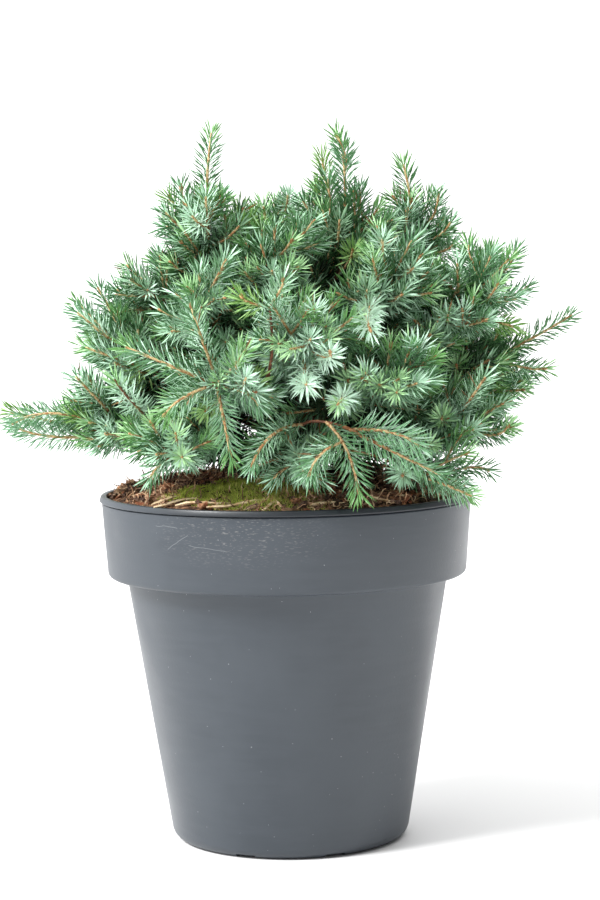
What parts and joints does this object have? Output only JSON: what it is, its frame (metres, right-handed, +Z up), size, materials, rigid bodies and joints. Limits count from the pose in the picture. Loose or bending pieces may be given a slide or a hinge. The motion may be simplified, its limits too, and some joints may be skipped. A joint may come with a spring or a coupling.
{
  "type": "potted dwarf blue spruce",
  "caption": "Dwarf blue spruce with a low, dense, domed crown of short blue-green needled shoots on a short trunk, in a slate-grey nursery pot with a deep collar.",
  "frame": {"origin": "middle of the pot's flat underside, on the surface it stands on", "axes": "+Z up through the pot's axis, -Y towards the side the picture shows, +X to that view's right"},
  "size_m": [0.3322, 0.2629, 0.4082],
  "materials": {
    "slate_plastic": "satin slate-grey moulded plastic, dusty and lightly scuffed on the collar",
    "bark_and_peat": "loose brown bark chips, fibre and peat",
    "moss": "short tufted olive-green moss",
    "bark": "rough red-brown bark, tan and smoother on young twigs",
    "needles": "waxy blue-green needles with a whitish bloom"
  },
  "bodies": {
    "root": {"bough_crown_back": "bark", "bough_crown_front": "bark", "bough_leader_left": "bark", "bough_leader_right": "bark", "bough_low_back_left": "bark", "bough_low_back_right": "bark", "bough_low_front": "bark", "bough_low_front_droop": "bark", "bough_low_front_left": "bark", "bough_low_front_right": "bark", "bough_low_left_long": "bark", "bough_low_right": "bark", "bough_mid_back": "bark", "bough_mid_back_left": "bark", "bough_mid_back_right": "bark", "bough_mid_front_left": "bark", "bough_mid_front_right": "bark", "bough_mid_left": "bark", "bough_mid_right": "bark", "bough_mid_right_long": "bark", "bough_upper_back_left": "bark", "bough_upper_back_right": "bark", "bough_upper_front": "bark", "bough_upper_front_left": "bark", "bough_upper_front_right": "bark", "bough_upper_left": "bark", "bough_upper_right": "bark", "crown_back": "needles", "crown_front": "needles", "leader_left": "needles", "leader_right": "needles", "low_back_left": "needles", "low_back_right": "needles", "low_front": "needles", "low_front_droop": "needles", "low_front_left": "needles", "low_front_right": "needles", "low_left_long": "needles", "low_right": "needles", "mid_back": "needles", "mid_back_left": "needles", "mid_back_right": "needles", "mid_front_left": "needles", "mid_front_right": "needles", "mid_left": "needles", "mid_right": "needles", "mid_right_long": "needles", "moss": "moss", "pot": "slate_plastic", "soil": "bark_and_peat", "trunk": "bark", "upper_back_left": "needles", "upper_back_right": "needles", "upper_front": "needles", "upper_front_left": "needles", "upper_front_right": "needles", "upper_left": "needles", "upper_right": "needles"}
  },
  "joints": []
}
